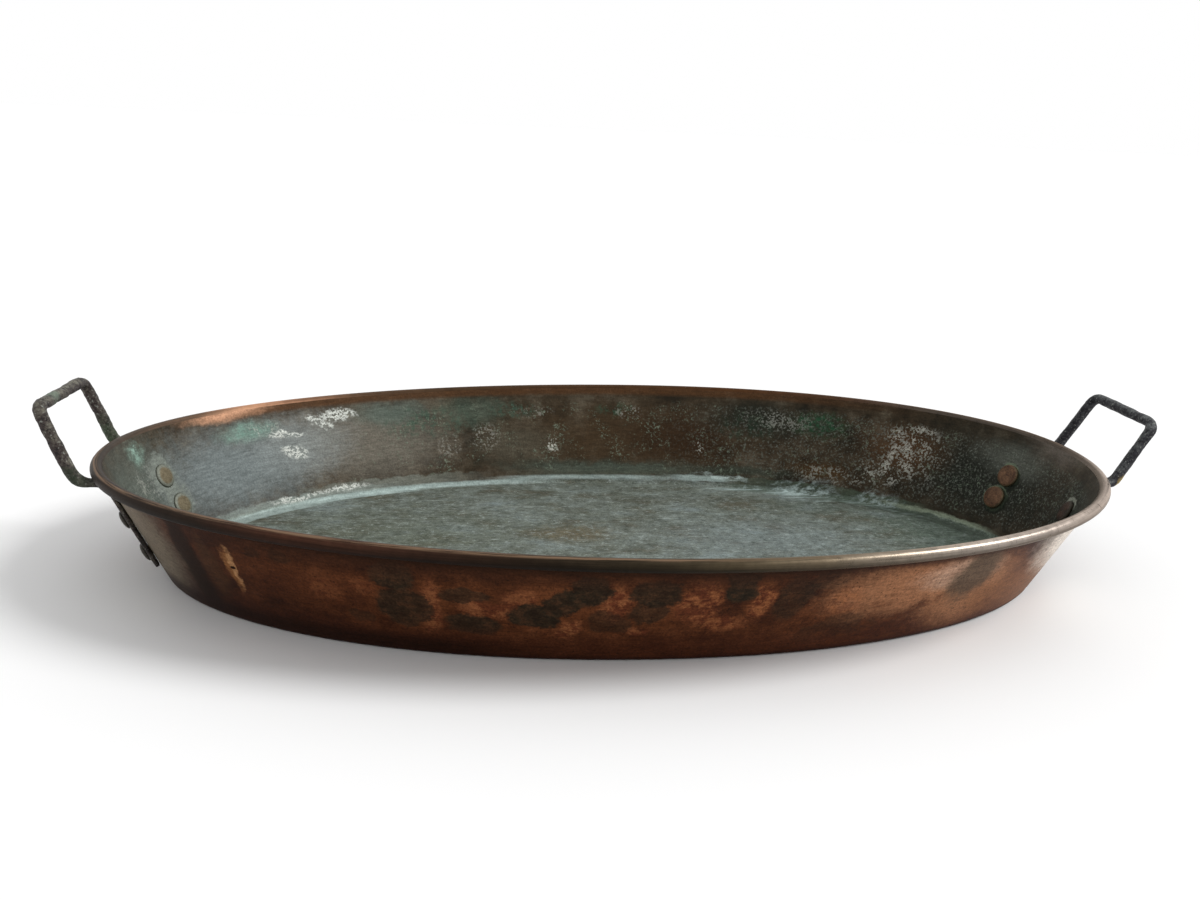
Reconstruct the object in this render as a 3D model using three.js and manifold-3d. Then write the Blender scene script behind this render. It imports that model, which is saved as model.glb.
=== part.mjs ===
// Copper gratin pan: a shallow oval pan of copper sheet with a flared wall, a rim rolled
// over an iron wire, and two forged iron handles, each held by four copper rivets.
// Millimetres, +Z up. The origin is the middle of the underside, which rests on z = 0.
// +X runs along the oval to the right handle and +Y runs to the back.

import * as THREE from 'three';
import { mergeVertices } from 'three/addons/utils/BufferGeometryUtils.js';
import Module from 'manifold-3d';

const wasm = await Module();
wasm.setup();

// Oval of the rim, taken along the middle of the rolled bead
const RIM_HALF_LENGTH = 270;
const RIM_HALF_WIDTH = 162;
const RIM_HEIGHT = 58.5;
// 2 is a true ellipse, and more is fuller at the shoulders
const OVAL_FULLNESS = 2.06;

// Copper sheet of the body
const SHEET_THICKNESS = 1.2;
// How far the foot of the wall lies inside the rim line, all round
const WALL_FLARE = 30.5;
// Inside radius between the floor and the wall
const CORNER_RADIUS = 2;

// Iron wire inside the rolled rim
const WIRE_RADIUS = 1.6;

// Gap kept between pieces that touch on the real pan
const CLEARANCE = 0.3;

// Handles: round rod, forged flat at both feet. A foot lies on the wall, passes under the
// bead and turns up into the leg.
const FOOT_WIDTH = 15;
const FOOT_THICKNESS = 2.2;
// How far the foot runs on below its lower rivet
const FOOT_MARGIN = 9;
// Width of the flat foot where it passes under the bead
const NECK_WIDTH = 10.5;
// Room left between the neck and the bead, so that the twist in the neck clears both
const NECK_SLACK = 0.5;
// Length over which the flat neck turns into the round rod, from under the bead outwards
const NECK_TAPER = 10;
// Bend between the foot and the neck
const KNEE_RADIUS = 5;
// Corner between a leg and the bar
const BAR_CORNER_RADIUS = 6.5;

// Rivets: flat head inside the pan, hammered tail outside on the handle's foot
const HEAD_RADIUS = 7;
const HEAD_THICKNESS = 1.5;
const HEAD_EDGE = 0.6;
const SHANK_RADIUS = 2.6;
const TAIL_RADIUS = 4.8;
const TAIL_HEIGHT = 1.7;
// Height of the upper rivets below the rim line
const RIVET_DROP = 23;

// The two handles were bent by hand, so they differ a little, and so do the near and the far
// leg of each. barRise is the bar's height above the rim line. For each leg, footSpread and
// legSpread are the distances of the foot and of the lower bend from the middle of the pan's
// end, legReach and legDrop place that bend outside and below the rim line, and barReach and
// barSpread place the end of the bar outside the end of the rim line and along it.
const HANDLES = [
  {
    name: 'left',
    side: -1,
    rodRadius: 3.35,
    rivetPitch: 19,
    barRise: 32,
    near: {
      footSpread: 35, legSpread: 35.5, legReach: 10, legDrop: 5.5,
      legBend: 9, barReach: 20.5, barSpread: 32,
    },
    far: {
      footSpread: 35, legSpread: 36, legReach: 10, legDrop: 4,
      legBend: 8, barReach: 18.5, barSpread: 35.5,
    },
  },
  {
    name: 'right',
    side: 1,
    rodRadius: 3.15,
    rivetPitch: 15.4,
    barRise: 29.6,
    near: {
      footSpread: 30, legSpread: 31.5, legReach: 9, legDrop: 4,
      legBend: 7, barReach: 25.5, barSpread: 29,
    },
    far: {
      footSpread: 36, legSpread: 34, legReach: 12.5, legDrop: 4,
      legBend: 7, barReach: 23.5, barSpread: 29,
    },
  },
];

// Number of facets
const RIM_STATIONS = 72;
const CORNER_STEPS = 3;
const CURL_STEPS = 10;
const WIRE_SIDES = 8;
const RIVET_SIDES = 16;
const TAIL_STEPS = 3;
const BEND_STEP = Math.PI / 12;
const FOOT_STEP = 4;
const NECK_STEP = 2.5;

// Sizes worked out from the driving ones
const curlBore = WIRE_RADIUS + CLEARANCE;
const beadRadius = curlBore + SHEET_THICKNESS;
// The wall leaves the foot of the pan so that it runs into the curl without a kink
const wallLean = Math.acos(curlBore / Math.hypot(WALL_FLARE, RIM_HEIGHT))
  - Math.atan2(RIM_HEIGHT, WALL_FLARE);
// Distance of the foot's middle line from the wall's outer face
const footLift = CLEARANCE + FOOT_THICKNESS / 2;

const copper = (color, roughness) => new THREE.MeshStandardMaterial({ color, roughness, metalness: 0.9 });
const iron = (color, roughness) => new THREE.MeshStandardMaterial({ color, roughness, metalness: 0.6 });

const vec = (x, y, z) => new THREE.Vector3(x, y, z);

// Place on the rim line for an angle, with the direction pointing out of the oval there
function rimPlace(angle) {
  const cos = Math.cos(angle);
  const sin = Math.sin(angle);
  const power = 2 / OVAL_FULLNESS;
  const acrossX = Math.sign(cos) * Math.abs(cos) ** power;
  const acrossY = Math.sign(sin) * Math.abs(sin) ** power;
  const slopeX = Math.sign(cos) * Math.abs(acrossX) ** (OVAL_FULLNESS - 1) / RIM_HALF_LENGTH;
  const slopeY = Math.sign(sin) * Math.abs(acrossY) ** (OVAL_FULLNESS - 1) / RIM_HALF_WIDTH;
  return {
    point: vec(RIM_HALF_LENGTH * acrossX, RIM_HALF_WIDTH * acrossY, 0),
    out: vec(slopeX, slopeY, 0).normalize(),
  };
}

// Rim places all round, which the sheet and the wire share
const rimPlaces = [];
for (let i = 0; i < RIM_STATIONS; i += 1) {
  rimPlaces.push(rimPlace((2 * Math.PI * i) / RIM_STATIONS));
}

// Points of an arc in the section plane, x out of the oval and y up
function arc(centre, radius, fromAngle, toAngle, steps) {
  const points = [];
  for (let i = 0; i <= steps; i += 1) {
    const angle = fromAngle + ((toAngle - fromAngle) * i) / steps;
    points.push(new THREE.Vector2(
      centre.x + radius * Math.cos(angle),
      centre.y + radius * Math.sin(angle),
    ));
  }
  return points;
}

// Rings of points carried round the rim, one ring for each point of the section
function sweepRound(section) {
  const positions = [];
  for (const point of section) {
    for (const place of rimPlaces) {
      positions.push(
        place.point.x + place.out.x * point.x,
        place.point.y + place.out.y * point.x,
        point.y,
      );
    }
  }
  return positions;
}

// Two triangles for each cell between one ring and the next
function joinRings(first, second, count) {
  const triangles = [];
  for (let i = 0; i < count; i += 1) {
    const next = (i + 1) % count;
    triangles.push(first + i, first + next, second + next);
    triangles.push(first + i, second + next, second + i);
  }
  return triangles;
}

function solidOf(positions, triangles) {
  return new wasm.Manifold(new wasm.Mesh({
    numProp: 3,
    vertProperties: new Float32Array(positions),
    triVerts: new Uint32Array(triangles),
  }));
}

function solidOfGeometry(geometry) {
  const bare = geometry.clone();
  bare.deleteAttribute('normal');
  bare.deleteAttribute('uv');
  const merged = mergeVertices(bare, 1e-4);
  return solidOf(merged.attributes.position.array, merged.index.array);
}

function meshOf(name, solid, material) {
  const result = solid.getMesh();
  const geometry = new THREE.BufferGeometry();
  geometry.setAttribute('position', new THREE.BufferAttribute(new Float32Array(result.vertProperties), 3));
  geometry.setIndex(new THREE.BufferAttribute(new Uint32Array(result.triVerts), 1));
  geometry.computeVertexNormals();
  const mesh = new THREE.Mesh(geometry, material);
  mesh.name = name;
  return mesh;
}

// Body: floor, flared wall and the curl of the rim as one formed sheet
function bodySolid() {
  const outerCorner = CORNER_RADIUS + SHEET_THICKNESS;
  const cornerBack = outerCorner * Math.tan((Math.PI / 2 - wallLean) / 2);
  const cornerCentre = new THREE.Vector2(-WALL_FLARE - cornerBack, outerCorner);
  const beadCentre = new THREE.Vector2(0, RIM_HEIGHT);
  const curlStart = Math.PI - wallLean;
  const lipAngle = Math.acos((curlBore - CLEARANCE) / beadRadius);
  const curlEnd = curlStart - 2 * Math.PI + lipAngle;

  const section = [
    ...arc(cornerCentre, outerCorner, -Math.PI / 2, -wallLean, CORNER_STEPS),
    ...arc(beadCentre, curlBore, curlStart, curlEnd, CURL_STEPS),
    ...arc(beadCentre, beadRadius, curlEnd, curlStart, CURL_STEPS),
    ...arc(cornerCentre, CORNER_RADIUS, -wallLean, -Math.PI / 2, CORNER_STEPS),
  ];
  const positions = sweepRound(section);
  const underMiddle = positions.length / 3;
  positions.push(0, 0, 0);
  const floorMiddle = underMiddle + 1;
  positions.push(0, 0, SHEET_THICKNESS);

  const triangles = [];
  for (let ring = 0; ring < section.length - 1; ring += 1) {
    triangles.push(...joinRings(ring * RIM_STATIONS, (ring + 1) * RIM_STATIONS, RIM_STATIONS));
  }
  const lastRing = (section.length - 1) * RIM_STATIONS;
  for (let i = 0; i < RIM_STATIONS; i += 1) {
    const next = (i + 1) % RIM_STATIONS;
    triangles.push(underMiddle, next, i);
    triangles.push(floorMiddle, lastRing + i, lastRing + next);
  }
  return solidOf(positions, triangles);
}

// Wire: a closed oval ring inside the curl
function wireSolid() {
  const circle = arc(new THREE.Vector2(0, RIM_HEIGHT), WIRE_RADIUS, 0, 2 * Math.PI, WIRE_SIDES);
  circle.pop();
  const positions = sweepRound(circle);
  const triangles = [];
  for (let ring = 0; ring < WIRE_SIDES; ring += 1) {
    const nextRing = (ring + 1) % WIRE_SIDES;
    triangles.push(...joinRings(ring * RIM_STATIONS, nextRing * RIM_STATIONS, RIM_STATIONS));
  }
  return solidOf(positions, triangles);
}

// How far the outer face of the wall lies out of the rim line at a height
function wallOutward(height) {
  return height * Math.tan(wallLean) - WALL_FLARE;
}

// Angle of the rim place whose section, this far out of the rim line, lies at this distance
// from the middle of the pan's end
function rimAngle(spread, outward) {
  let low = 0;
  let high = Math.PI / 2;
  for (let i = 0; i < 40; i += 1) {
    const middle = (low + high) / 2;
    const { point, out } = rimPlace(middle);
    if (point.y + out.y * outward < spread) {
      low = middle;
    } else {
      high = middle;
    }
  }
  return low;
}

// The seat of one handle foot: the point of the wall's outer face between its two rivets, the
// direction out of the wall there, and the foot's own direction up the wall, which keeps the
// same distance from the middle of the pan's end. end is -1 on the near side and 1 on the far.
function footSeat(handle, leg, end) {
  const height = RIM_HEIGHT - RIVET_DROP - (handle.rivetPitch / 2) * Math.cos(wallLean);
  const outward = wallOutward(height);
  const angle = rimAngle(leg.footSpread, outward);
  const { point, out } = rimPlace(angle);
  const nudge = 0.01;
  const turned = rimPlace(angle + nudge);
  const planRadius = turned.point.distanceTo(point) / turned.out.angleTo(out);
  const toItsSide = vec(handle.side, end, 1);
  const place = point.addScaledVector(out, outward).setZ(height).multiply(toItsSide);
  const offWall = out.clone().multiplyScalar(Math.cos(wallLean)).setZ(-Math.sin(wallLean));
  offWall.multiply(toItsSide);
  const upWall = vec(-offWall.z * handle.side, 0, offWall.x * handle.side).normalize();
  return { place, offWall, upWall, planRadius };
}

// Where a rivet goes through the wall: y of the frame points out of the wall
function rivetFrame(seat, distanceUp) {
  const origin = seat.place.clone().addScaledVector(seat.upWall, distanceUp);
  const across = seat.upWall.clone().cross(seat.offWall);
  return new THREE.Matrix4()
    .makeBasis(seat.upWall, seat.offWall, across)
    .setPosition(origin);
}

// The wall is hollow on the inside, so a flat head stands off it by the depth under its edge
function headGap(seat) {
  const wallRadius = (seat.planRadius - WALL_FLARE) / Math.cos(wallLean);
  const facetLength = (2 * Math.PI * RIM_HALF_WIDTH) / RIM_STATIONS;
  const underHead = HEAD_RADIUS ** 2 / (2 * wallRadius);
  const underFacet = facetLength ** 2 / (8 * wallRadius);
  return CLEARANCE + underHead + underFacet;
}

// Rivet turned about its own axis, which is y, with y = 0 on the outer face of the wall
function rivetGeometry(seat) {
  const headSeat = -SHEET_THICKNESS - headGap(seat);
  const headTop = headSeat - HEAD_THICKNESS;
  const tailSeat = FOOT_THICKNESS + 2 * CLEARANCE;
  const profile = [
    new THREE.Vector2(0, headTop),
    new THREE.Vector2(HEAD_RADIUS - HEAD_EDGE, headTop),
    new THREE.Vector2(HEAD_RADIUS, headTop + HEAD_EDGE),
    new THREE.Vector2(HEAD_RADIUS, headSeat),
    new THREE.Vector2(SHANK_RADIUS, headSeat),
    new THREE.Vector2(SHANK_RADIUS, tailSeat),
  ];
  for (let i = 0; i < TAIL_STEPS; i += 1) {
    const angle = (Math.PI / 2) * (i / TAIL_STEPS);
    profile.push(new THREE.Vector2(
      TAIL_RADIUS * Math.cos(angle),
      tailSeat + TAIL_HEIGHT * Math.sin(angle),
    ));
  }
  profile.push(new THREE.Vector2(0, tailSeat + TAIL_HEIGHT));
  return new THREE.LatheGeometry(profile, RIVET_SIDES);
}

// Cutter for the hole that a rivet passes through
function rivetHole(frame) {
  const length = 4 * (SHEET_THICKNESS + FOOT_THICKNESS);
  const cylinder = new THREE.CylinderGeometry(
    SHANK_RADIUS + CLEARANCE,
    SHANK_RADIUS + CLEARANCE,
    length,
    RIVET_SIDES,
  );
  cylinder.applyMatrix4(frame);
  return solidOfGeometry(cylinder);
}

// Arc that rounds the corner at b between a and c
function roundCorner(a, b, c, radius) {
  const back = a.clone().sub(b).normalize();
  const on = c.clone().sub(b).normalize();
  const turn = Math.PI - back.angleTo(on);
  const reach = radius * Math.tan(turn / 2);
  const start = b.clone().addScaledVector(back, reach);
  const middle = back.clone().add(on).normalize();
  const centre = b.clone().addScaledVector(middle, radius / Math.cos(turn / 2));
  const axis = back.clone().negate().cross(on).normalize();
  const steps = Math.max(2, Math.ceil(turn / BEND_STEP));
  const points = [];
  for (let i = 0; i <= steps; i += 1) {
    const arm = start.clone().sub(centre).applyAxisAngle(axis, (turn * i) / steps);
    points.push(centre.clone().add(arm));
  }
  return points;
}

// Straight stretch split into equal steps, without its two ends
function between(a, b, step) {
  const pieces = Math.ceil(a.distanceTo(b) / step);
  const points = [];
  for (let i = 1; i < pieces; i += 1) {
    points.push(a.clone().lerp(b, i / pieces));
  }
  return points;
}

// Middle line of half a handle, worked out on the near side, from the end of its foot to the
// middle of the bar, with the distances along it of the knee and of the place under the bead
function halfPath(handle, leg, otherLeg, seat) {
  const onFoot = seat.place.clone().addScaledVector(seat.offWall, footLift);
  const footEnd = onFoot.clone()
    .addScaledVector(seat.upWall, -handle.rivetPitch / 2 - FOOT_MARGIN);

  // The neck runs in from the lower bend, just clear of the bead, down to the line of the foot
  const crossing = rimPlace(rimAngle(-onFoot.y, 0));
  const legFoot = vec(
    handle.side * (crossing.point.x + leg.legReach),
    -leg.legSpread,
    RIM_HEIGHT - leg.legDrop,
  );
  const clear = (beadRadius + footLift + NECK_SLACK) / crossing.out.x;
  const fromBead = Math.hypot(leg.legReach, leg.legDrop);
  const neckTilt = Math.asin(clear / fromBead) - Math.atan2(leg.legDrop, leg.legReach);
  const neck = vec(-handle.side * Math.cos(neckTilt), 0, -Math.sin(neckTilt));
  const offFoot = vec(-seat.upWall.z, 0, seat.upWall.x);
  const neckLength = onFoot.clone().sub(legFoot).dot(offFoot) / neck.dot(offFoot);
  const knee = legFoot.clone().addScaledVector(neck, neckLength).setY(onFoot.y);

  const barZ = RIM_HEIGHT + handle.barRise;
  const barEnd = vec(handle.side * (RIM_HALF_LENGTH + leg.barReach), -leg.barSpread, barZ);
  const otherEnd = vec(handle.side * (RIM_HALF_LENGTH + otherLeg.barReach), otherLeg.barSpread, barZ);
  const barMiddle = barEnd.clone().lerp(otherEnd, 0.5);

  const kneeArc = roundCorner(footEnd, knee, legFoot, KNEE_RADIUS);
  const legArc = roundCorner(knee, legFoot, barEnd, leg.legBend);
  const barArc = roundCorner(legFoot, barEnd, barMiddle, BAR_CORNER_RADIUS);
  const kneeDistance = footEnd.distanceTo(knee);
  return {
    kneeDistance,
    beadDistance: kneeDistance + neckLength - Math.sqrt(fromBead ** 2 - clear ** 2),
    points: [
      footEnd,
      ...between(footEnd, kneeArc[0], FOOT_STEP),
      ...kneeArc,
      ...between(kneeArc.at(-1), legArc[0], NECK_STEP),
      ...legArc,
      ...barArc,
      barMiddle,
    ],
  };
}

// Section of the handle, from 0, the flat foot, to 1, the round rod.
// Twelve points: three in each quarter, at the side, the shoulder and the face.
function handleSection(rodRadius, roundness, footShare) {
  const flat = [[1, 0.45], [0.9, 1], [0.35, 1]];
  const points = [];
  for (let quarter = 0; quarter < 4; quarter += 1) {
    const acrossSign = quarter === 0 || quarter === 3 ? 1 : -1;
    const throughSign = quarter < 2 ? 1 : -1;
    const order = quarter % 2 === 0 ? [0, 1, 2] : [2, 1, 0];
    for (const step of order) {
      const angle = ((2 * step + 1) * Math.PI) / 12;
      const flatAcross = flat[step][0] * (FOOT_WIDTH / 2) * footShare;
      const flatThrough = flat[step][1] * (FOOT_THICKNESS / 2);
      points.push(new THREE.Vector2(
        acrossSign * THREE.MathUtils.lerp(flatAcross, rodRadius * Math.cos(angle), roundness),
        throughSign * THREE.MathUtils.lerp(flatThrough, rodRadius * Math.sin(angle), roundness),
      ));
    }
  }
  return points;
}

// Sections of half a handle, worked out on the near side, from the foot to the middle of the bar
function halfRings(handle, leg, otherLeg) {
  const seat = footSeat(handle, leg, -1);
  const path = halfPath(handle, leg, otherLeg, seat);
  const upperRivet = FOOT_MARGIN + handle.rivetPitch;
  const neckShare = NECK_WIDTH / FOOT_WIDTH;

  // The foot lies square on the slanting wall and is twisted level under the bead
  const across = seat.upWall.clone().cross(seat.offWall);
  const level = vec(0, handle.side, 0);
  const levelStart = path.kneeDistance - KNEE_RADIUS / 4;
  const levelEnd = path.beadDistance - beadRadius;
  const neckEnd = path.beadDistance + NECK_TAPER;
  let distance = 0;
  return path.points.map((point, i) => {
    const before = path.points[Math.max(i - 1, 0)];
    const after = path.points[Math.min(i + 1, path.points.length - 1)];
    const along = after.clone().sub(before).normalize();
    distance += point.distanceTo(before);
    const roundness = THREE.MathUtils.smoothstep(distance, path.beadDistance, neckEnd);
    if (distance < neckEnd) {
      across.lerp(level, THREE.MathUtils.smoothstep(distance, levelStart, levelEnd));
    }
    across.addScaledVector(along, -across.dot(along)).normalize();
    const through = along.clone().cross(across);
    const narrowing = THREE.MathUtils.smoothstep(distance, upperRivet, path.kneeDistance);
    const tip = Math.min(distance / (FOOT_WIDTH / 2), 1);
    const tipShare = 0.45 + 0.55 * Math.sqrt(1 - (1 - tip) ** 2);
    const footShare = tipShare * THREE.MathUtils.lerp(1, neckShare, narrowing);
    return handleSection(handle.rodRadius, roundness, footShare).map((p) => point.clone()
      .addScaledVector(across, p.x)
      .addScaledVector(through, p.y));
  });
}

// One handle, lofted from foot to foot. The far half is mirrored from the near side.
function handleSolid(handle) {
  const nearRings = halfRings(handle, handle.near, handle.far);
  const farRings = halfRings(handle, handle.far, handle.near)
    .slice(0, -1)
    .map((ring) => ring.map((p) => vec(p.x, -p.y, p.z)));
  const allRings = [...nearRings, ...farRings.reverse()];
  const sides = allRings[0].length;
  const positions = allRings.flat().flatMap((p) => [p.x, p.y, p.z]);
  const triangles = [];
  for (let ring = 0; ring < allRings.length - 1; ring += 1) {
    triangles.push(...joinRings(ring * sides, (ring + 1) * sides, sides));
  }
  const lastRing = (allRings.length - 1) * sides;
  for (let i = 1; i < sides - 1; i += 1) {
    triangles.push(0, i + 1, i);
    triangles.push(lastRing, lastRing + i, lastRing + i + 1);
  }
  return solidOf(positions, triangles);
}

const pan = new THREE.Group();
let body = bodySolid();

for (const handle of HANDLES) {
  let grip = handleSolid(handle);
  for (const [end, leg, endSign] of [['near', handle.near, -1], ['far', handle.far, 1]]) {
    const seat = footSeat(handle, leg, endSign);
    for (const [level, levelSign] of [['upper', 1], ['lower', -1]]) {
      const frame = rivetFrame(seat, (levelSign * handle.rivetPitch) / 2);
      const hole = rivetHole(frame);
      body = body.subtract(hole);
      grip = grip.subtract(hole);
      const rivet = new THREE.Mesh(rivetGeometry(seat), copper(0x7a5a40, 0.5));
      rivet.name = `rivet_${handle.name}_${end}_${level}`;
      rivet.applyMatrix4(frame);
      pan.add(rivet);
    }
  }
  pan.add(meshOf(`handle_${handle.name}`, grip, iron(0x4a4640, 0.75)));
}

pan.add(meshOf('pan_body', body, copper(0x7a4a30, 0.45)));
pan.add(meshOf('rim_wire', wireSolid(), iron(0x4c4742, 0.8)));

export default pan;
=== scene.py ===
# Looks of an old oval gratin pan: a copper body with a wired rim, worn tin inside, two forged
# iron handles and eight copper rivets. Metres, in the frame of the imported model.
import math

import bmesh
import bpy
from mathutils import Matrix, Vector, noise
from mathutils.bvhtree import BVHTree


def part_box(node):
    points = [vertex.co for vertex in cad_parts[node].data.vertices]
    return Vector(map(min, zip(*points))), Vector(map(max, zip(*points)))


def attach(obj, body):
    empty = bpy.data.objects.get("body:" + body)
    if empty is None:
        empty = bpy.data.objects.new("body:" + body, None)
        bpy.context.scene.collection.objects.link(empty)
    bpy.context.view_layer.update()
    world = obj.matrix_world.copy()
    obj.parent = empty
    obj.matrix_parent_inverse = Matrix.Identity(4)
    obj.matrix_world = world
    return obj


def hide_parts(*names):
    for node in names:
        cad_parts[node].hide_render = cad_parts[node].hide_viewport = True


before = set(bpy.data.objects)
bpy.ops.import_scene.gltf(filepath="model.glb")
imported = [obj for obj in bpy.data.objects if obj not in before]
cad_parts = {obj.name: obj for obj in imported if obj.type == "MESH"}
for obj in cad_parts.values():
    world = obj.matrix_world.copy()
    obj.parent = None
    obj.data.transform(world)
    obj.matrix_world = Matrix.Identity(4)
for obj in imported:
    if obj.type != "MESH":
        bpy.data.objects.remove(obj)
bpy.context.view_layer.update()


# Body. One sheet of copper, raised over a stake into a flat floor and a flared oval wall, with
# its edge rolled outwards into a round bead over an iron wire. Wiped with tin on the inside.

RIM_HALF_LENGTH = 0.270
RIM_HALF_WIDTH = 0.162
RIM_HEIGHT = 0.0585
OVAL_FULLNESS = 2.06
SHEET = 0.0012
WALL_FLARE = 0.0305
CORNER_RADIUS = 0.002
WIRE_RADIUS = 0.0016
BORE_RADIUS = 0.0019
BEAD_RADIUS = BORE_RADIUS + SHEET
WALL_LEAN = math.acos(BORE_RADIUS / math.hypot(WALL_FLARE, RIM_HEIGHT)) - math.atan2(
    RIM_HEIGHT, WALL_FLARE
)
# The curl's edge stops this far from the wall
CURL_GAP = 0.0003
# The rim isn't quite level: it rises and falls twice on the way round. The twist grows with the
# height, up to the top of the bars at 1.6 times the rim's.
RIM_TWIST = 0.0018
TWIST_TOP = 1.6
STEPS_AROUND = 560


def rim_place(angle):
    """Point of the rim line, and the direction out of the oval there."""
    cos, sin = math.cos(angle), math.sin(angle)
    x = math.copysign(abs(cos) ** (2 / OVAL_FULLNESS), cos)
    y = math.copysign(abs(sin) ** (2 / OVAL_FULLNESS), sin)
    out = Vector(
        (
            math.copysign(abs(x) ** (OVAL_FULLNESS - 1), x) / RIM_HALF_LENGTH,
            math.copysign(abs(y) ** (OVAL_FULLNESS - 1), y) / RIM_HALF_WIDTH,
            0,
        )
    ).normalized()
    return Vector((RIM_HALF_LENGTH * x, RIM_HALF_WIDTH * y, 0)), out


def settle(point):
    """Where a point of the true oval pan ends up on this one, with its slightly twisted rim."""
    angle = math.atan2(point.y / RIM_HALF_WIDTH, point.x / RIM_HALF_LENGTH)
    share = min(max(point.z / RIM_HEIGHT, 0), TWIST_TOP)
    return point + Vector((0, 0, RIM_TWIST * math.sin(2 * angle) * share))


def arc(centre, radius, start, end, steps):
    """Points of an arc in the wall's section, as distance out of the rim line and height."""
    turns = [start + (end - start) * i / steps for i in range(steps + 1)]
    return [(centre[0] + radius * math.cos(t), centre[1] + radius * math.sin(t)) for t in turns]


def line(start, end, steps):
    """Points between two others, without those two."""
    shares = [i / steps for i in range(1, steps)]
    return [
        (start[0] + (end[0] - start[0]) * s, start[1] + (end[1] - start[1]) * s) for s in shares
    ]


def new_piece(name, bm, materials):
    """Object at the origin, with its place in its mesh."""
    mesh = bpy.data.meshes.new(name)
    bm.to_mesh(mesh)
    bm.free()
    for polygon in mesh.polygons:
        polygon.use_smooth = True
    for material in materials:
        mesh.materials.append(material)
    piece = bpy.data.objects.new(name, mesh)
    bpy.context.scene.collection.objects.link(piece)
    return piece


outer_corner = CORNER_RADIUS + SHEET
corner_back = outer_corner * math.tan((math.pi / 2 - WALL_LEAN) / 2)
corner = (-WALL_FLARE - corner_back, outer_corner)
bead = (0, RIM_HEIGHT)
curl_start = math.pi - WALL_LEAN
curl_end = curl_start - 2 * math.pi + math.acos((BORE_RADIUS - CURL_GAP) / BEAD_RADIUS)
middle = -RIM_HALF_LENGTH

outside = arc(corner, outer_corner, -math.pi / 2, -WALL_LEAN, 6)
inside_curl = arc(bead, BORE_RADIUS, curl_start, curl_end, 12)
over_bead = arc(bead, BEAD_RADIUS, curl_end, curl_start, 22)
inside = arc(corner, CORNER_RADIUS, -WALL_LEAN, -math.pi / 2, 6)
section = [(middle, 0), *line((middle, 0), outside[0], 10), *outside]
section += [*line(outside[-1], inside_curl[0], 32), *inside_curl, *over_bead]
section += [*line(over_bead[-1], inside[0], 32), *inside]
section += [*line(inside[-1], (middle, SHEET), 24), (middle, SHEET)]

bm = bmesh.new()
rise_layer = bm.verts.layers.float.new("rise")
turn_layer = bm.verts.layers.float.new("turn")
reach_layer = bm.verts.layers.float.new("reach")
chain = [bm.verts.new((RIM_HALF_LENGTH + out, 0, height)) for out, height in section]
edges = [bm.edges.new(pair) for pair in zip(chain, chain[1:])]
bmesh.ops.spin(
    bm,
    geom=[*chain, *edges],
    cent=(0, 0, 0),
    axis=(0, 0, 1),
    angle=2 * math.pi,
    steps=STEPS_AROUND,
    use_merge=True,
    use_duplicate=False,
)
bmesh.ops.remove_doubles(bm, verts=bm.verts, dist=1e-7)
bmesh.ops.recalc_face_normals(bm, faces=bm.faces)

# Bare copper outside is the first material, the rim's bead the second, the tinned inside the third
for face in bm.faces:
    centre = face.calc_center_median()
    out = math.hypot(centre.x, centre.y) - RIM_HALF_LENGTH
    from_wire = math.hypot(out, centre.z - RIM_HEIGHT)
    if BORE_RADIUS + SHEET / 2 < from_wire < BEAD_RADIUS * 1.01:
        face.material_index = 1
    elif face.normal.z > 0 and out < -BEAD_RADIUS * 0.8:
        face.material_index = 2

# The round dish becomes the oval: the wall keeps its section, and the floor is drawn in with it.
# Each point remembers its height, how far it is turned round the wire from the outermost line, and
# its distance from the corner inside: above it on the wall, below nought on the floor.
for vert in bm.verts:
    angle = math.atan2(vert.co.y, vert.co.x)
    out = math.hypot(vert.co.x, vert.co.y) - RIM_HALF_LENGTH
    vert[rise_layer] = vert.co.z
    vert[turn_layer] = math.atan2(vert.co.z - RIM_HEIGHT, out) / math.pi
    point, outward = rim_place(angle)
    drawn = point + outward * max(out, corner[0])
    vert[reach_layer] = vert.co.z - SHEET
    if out < corner[0]:
        share = (RIM_HALF_LENGTH + out) / (RIM_HALF_LENGTH + corner[0])
        vert[reach_layer] = (share - 1) * drawn.length
        drawn *= share
    vert.co = settle(Vector((drawn.x, drawn.y, vert.co.z)))


def shade(red, green, blue):
    """Colour for a socket, from its red, green and blue as a screen shows them, 0 to 255."""
    return (*[((part / 255 + 0.055) / 1.055) ** 2.4 for part in (red, green, blue)], 1)


def on_wall(angle, height, tilt=0):
    """Frame on the wall: along the rim, into the pan and up the slope, turned by the tilt."""
    point, outward = rim_place(math.radians(angle))
    along = Vector((0, 0, 1)).cross(outward)
    turn = Matrix((along, -outward, (0, 0, 1))).transposed() @ Matrix.Rotation(WALL_LEAN, 3, "X")
    turn = turn @ Matrix.Rotation(-math.radians(tilt), 3, "Y")
    out = height * math.tan(WALL_LEAN) - WALL_FLARE
    place = point + outward * out + Vector((0, 0, height))
    return Matrix.Translation(place) @ turn.to_4x4()


def on_floor(x, y, turn=0):
    """Frame on the pan's floor, turned about the vertical."""
    return Matrix.Translation((x, y, SHEET)) @ Matrix.Rotation(math.radians(turn), 4, "Z")


def rim_angle(place):
    """Angle on the rim, in degrees, of the stretch of wall that a place is on."""
    angle = math.atan2(place.y / RIM_HALF_WIDTH, place.x / RIM_HALF_LENGTH)
    for _ in range(12):
        point, outward = rim_place(angle)
        point += outward * (place.z * math.tan(WALL_LEAN) - WALL_FLARE)
        angle += math.atan2(place.y, place.x) - math.atan2(point.y, point.x)
    return math.degrees(angle)


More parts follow.
